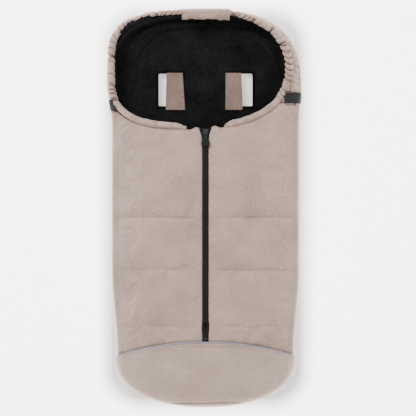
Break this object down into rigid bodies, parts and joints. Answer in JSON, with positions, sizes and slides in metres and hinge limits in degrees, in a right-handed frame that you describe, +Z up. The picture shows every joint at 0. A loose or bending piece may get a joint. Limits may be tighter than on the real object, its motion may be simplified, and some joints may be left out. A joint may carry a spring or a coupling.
{
  "type": "stroller footmuff",
  "caption": "Padded stroller footmuff with a gathered hood rim, a front that unzips and folds open, harness slots in the back and a pull-off cap over the foot end.",
  "frame": {"origin": "middle of the bounding box's bottom, on the ground under the back", "axes": "+Y towards the head end, +X to the right as seen from above, +Z up out of the front"},
  "size_m": [0.46, 0.9396, 0.0877],
  "materials": {
    "woven_polyester": "matt plain-weave polyester, warm beige",
    "polyester_wadding": "white fibre filling",
    "coral_fleece": "deep black short-pile fleece",
    "elastic_webbing": "dark grey ribbed elastic",
    "coated_zip_tape": "black water-repellent tape, slight sheen",
    "polyester_teeth": "black moulded teeth",
    "nickel_plated_zinc": "grey nickel-plated die casting",
    "moulded_rubber": "soft black moulding",
    "silicone_dot_mesh": "dark mesh with small grip dots",
    "reflective_piping": "grey-lilac reflective piping"
  },
  "bodies": {
    "bag": {"back_lining": "coral_fleece", "back_shell": "woven_polyester", "back_wadding": "polyester_wadding", "bottom_stop": "nickel_plated_zinc", "crotch_slot_binding": "woven_polyester", "front_lining": "coral_fleece", "front_shell": "woven_polyester", "front_wadding": "polyester_wadding", "grip_patch": "silicone_dot_mesh", "head_wadding": "polyester_wadding", "hood_lining": "coral_fleece", "hood_rim_elastic": "elastic_webbing", "hood_shell": "woven_polyester", "left_crotch_side_wadding": "polyester_wadding", "left_end_teeth": "polyester_teeth", "left_hip_slot_binding": "woven_polyester", "left_hip_wadding": "polyester_wadding", "left_hood_rim": "woven_polyester", "left_hood_wadding": "polyester_wadding", "left_shoulder_slot_binding": "woven_polyester", "left_side_band": "elastic_webbing", "left_side_wadding": "polyester_wadding", "leg_wadding": "polyester_wadding", "right_crotch_side_wadding": "polyester_wadding", "right_end_teeth": "polyester_teeth", "right_hip_slot_binding": "woven_polyester", "right_hip_wadding": "polyester_wadding", "right_hood_rim": "woven_polyester", "right_hood_wadding": "polyester_wadding", "right_shoulder_slot_binding": "woven_polyester", "right_side_band": "elastic_webbing", "right_side_wadding": "polyester_wadding", "seat_wadding": "polyester_wadding", "top_tab": "woven_polyester", "zip_end_tape": "coated_zip_tape"},
    "left_lapel": {"left_lapel_shell": "woven_polyester", "left_lapel_wadding": "polyester_wadding", "left_lapel_lining": "coral_fleece", "left_hem": "woven_polyester", "left_hem_elastic": "elastic_webbing", "left_zip_tape": "coated_zip_tape", "left_zip_teeth": "polyester_teeth"},
    "right_lapel": {"right_lapel_shell": "woven_polyester", "right_lapel_wadding": "polyester_wadding", "right_lapel_lining": "coral_fleece", "right_hem": "woven_polyester", "right_hem_elastic": "elastic_webbing", "right_zip_tape": "coated_zip_tape", "right_zip_teeth": "polyester_teeth"},
    "slider": {"zip_slider": "nickel_plated_zinc"},
    "pull": {"zip_pull": "nickel_plated_zinc", "pull_tab": "moulded_rubber"},
    "left_flap": {"left_slot_flap": "woven_polyester"},
    "right_flap": {"right_slot_flap": "woven_polyester"},
    "foot_cap": {"foot_cap_front": "woven_polyester", "foot_cap_back": "woven_polyester", "foot_cap_sole": "woven_polyester", "cap_piping": "reflective_piping"}
  },
  "joints": [
    {"name": "left_lapel_open", "type": "hinge", "parent": "bag", "child": "left_lapel", "pos_m": [0, -0.31, 0.08075], "axis": [0.2759, -0.9612, 0], "range_deg": [0, 150]},
    {"name": "right_lapel_open", "type": "hinge", "parent": "bag", "child": "right_lapel", "pos_m": [0, -0.31, 0.08075], "axis": [0.2759, 0.9612, 0], "range_deg": [0, 150]},
    {"name": "zip_slide", "type": "slide", "parent": "bag", "child": "slider", "axis": [0, -1, 0], "range_m": [0, 0.4565]},
    {"name": "zip_pull_swing", "type": "hinge", "parent": "slider", "child": "pull", "pos_m": [0, 0.17495, 0.08525], "axis": [-1, 0, 0], "range_deg": [0, 150]},
    {"name": "left_flap_lift", "type": "hinge", "parent": "bag", "child": "left_flap", "pos_m": [-0.048, 0.27375, 0.0168], "axis": [0, 1, 0], "range_deg": [0, 110]},
    {"name": "right_flap_lift", "type": "hinge", "parent": "bag", "child": "right_flap", "pos_m": [0.048, 0.27375, 0.0168], "axis": [0, -1, 0], "range_deg": [0, 110]},
    {"name": "foot_cap_slide", "type": "slide", "parent": "bag", "child": "foot_cap", "axis": [0, -1, 0], "range_m": [0, 0.16]}
  ],
  "couplings": [
    {"joint": "right_lapel_open", "follows": "left_lapel_open", "ratio": 1},
    {"joint": "zip_slide", "follows": "left_lapel_open", "m_per_rad": 0.17437}
  ]
}
